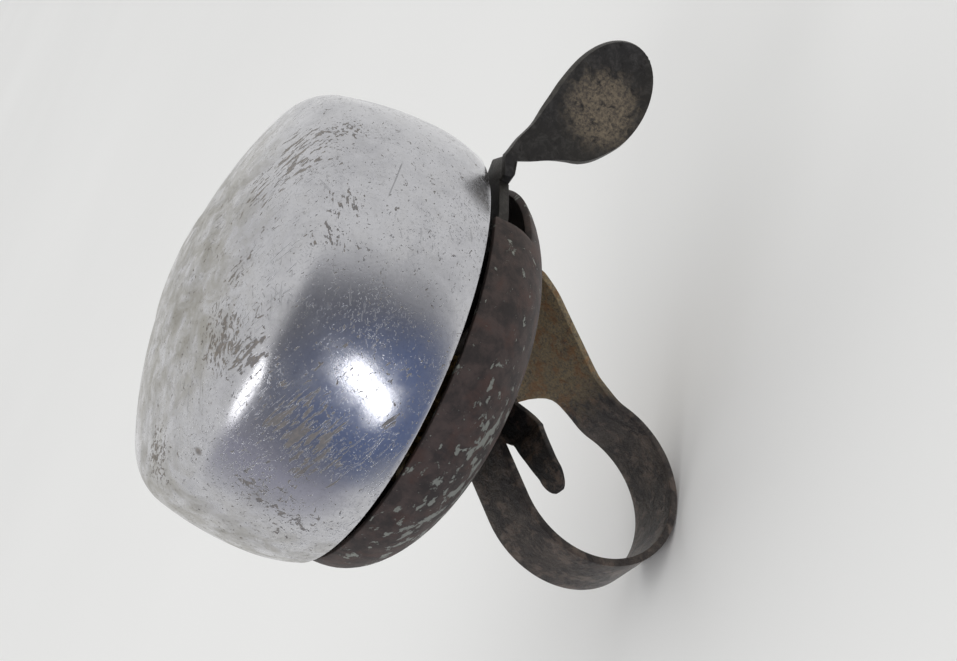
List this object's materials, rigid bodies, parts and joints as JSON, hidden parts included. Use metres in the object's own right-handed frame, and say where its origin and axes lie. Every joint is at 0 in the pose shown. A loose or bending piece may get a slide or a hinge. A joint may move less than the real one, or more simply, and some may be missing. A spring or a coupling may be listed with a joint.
{
  "type": "bicycle bell",
  "caption": "Thumb-lever bell for a bicycle handlebar: a domed gong over a pan, with a geared rotary striker inside and a strap clamp below.",
  "frame": {"origin": "centre of the handlebar, midway along the strap's width", "axes": "+X along the handlebar, +Y from the bar towards the gong's sideways offset, +Z along the gong's axis towards its crown"},
  "size_m": [0.0637, 0.0622, 0.0696],
  "materials": {
    "gong": "worn bright plating with brown rust pits",
    "pan": "brown rusted steel with flakes of old plating",
    "strap": "ochre and dark brown rust",
    "tab": "nearly black tarnish",
    "lever": "dark steel, rusted where the thumb rests",
    "fixings": "tarnished steel",
    "turned": "oiled turned steel",
    "plate": "dull steel sheet",
    "gears": "tarnished brass",
    "rings": "smooth steel washers",
    "spring": "spring wire"
  },
  "bodies": {
    "mount": {"base_pan": "pan", "clamp_strap": "strap", "steady_tab": "tab", "foot_rivets": "fixings", "centre_screw": "fixings", "lock_washer": "fixings", "centre_post": "turned", "post_sleeve": "turned", "thrust_washer": "gears", "movement_plate": "plate", "plate_pillars": "turned", "lever_pivot": "turned", "return_spring": "spring", "spring_pin": "turned", "idler_axle": "turned", "idler_clip": "fixings"},
    "gong": {"gong_dome": "gong", "dome_bush": "turned"},
    "lever": {"thumb_lever": "lever"},
    "idler": {"idler_gear": "gears", "idler_pinion": "turned"},
    "striker": {"striker_pinion": "gears", "striker_arm": "plate", "striker_pins": "turned"},
    "ring_a": {"striker_ring_a": "rings"},
    "ring_b": {"striker_ring_b": "rings"}
  },
  "joints": [
    {"name": "lever_press", "type": "hinge", "parent": "mount", "child": "lever", "pos_m": [0.01699, 0.00601, 0.02765], "axis": [0, 0, 1], "range_deg": [0, 20], "stiffness_Nm_per_rad": 0.03, "springref_deg": -20.05, "deforming": ["return_spring"]},
    {"name": "idler_turn", "type": "hinge", "parent": "mount", "child": "idler", "pos_m": [0.00613, -0.00463, 0.025], "axis": [0, 0, 1], "range_deg": [-75, 0]},
    {"name": "striker_spin", "type": "hinge", "parent": "mount", "child": "striker", "pos_m": [0, 0.0066, 0.028], "axis": [0, 0, 1], "range_deg": [0, 165]},
    {"name": "ring_a_turn", "type": "hinge", "parent": "striker", "child": "ring_a", "pos_m": [0.0196, 0.0066, 0.0338], "axis": [0, 0, 1], "continuous": true},
    {"name": "ring_b_turn", "type": "hinge", "parent": "striker", "child": "ring_b", "pos_m": [-0.0196, 0.0066, 0.0338], "axis": [0, 0, 1], "continuous": true},
    {"name": "gong_lift", "type": "slide", "parent": "mount", "child": "gong", "axis": [0, 0, 1], "range_m": [0, 0.045]}
  ],
  "couplings": [
    {"joint": "idler_turn", "follows": "lever_press", "ratio": -3.75},
    {"joint": "striker_spin", "follows": "lever_press", "ratio": 8.25}
  ]
}
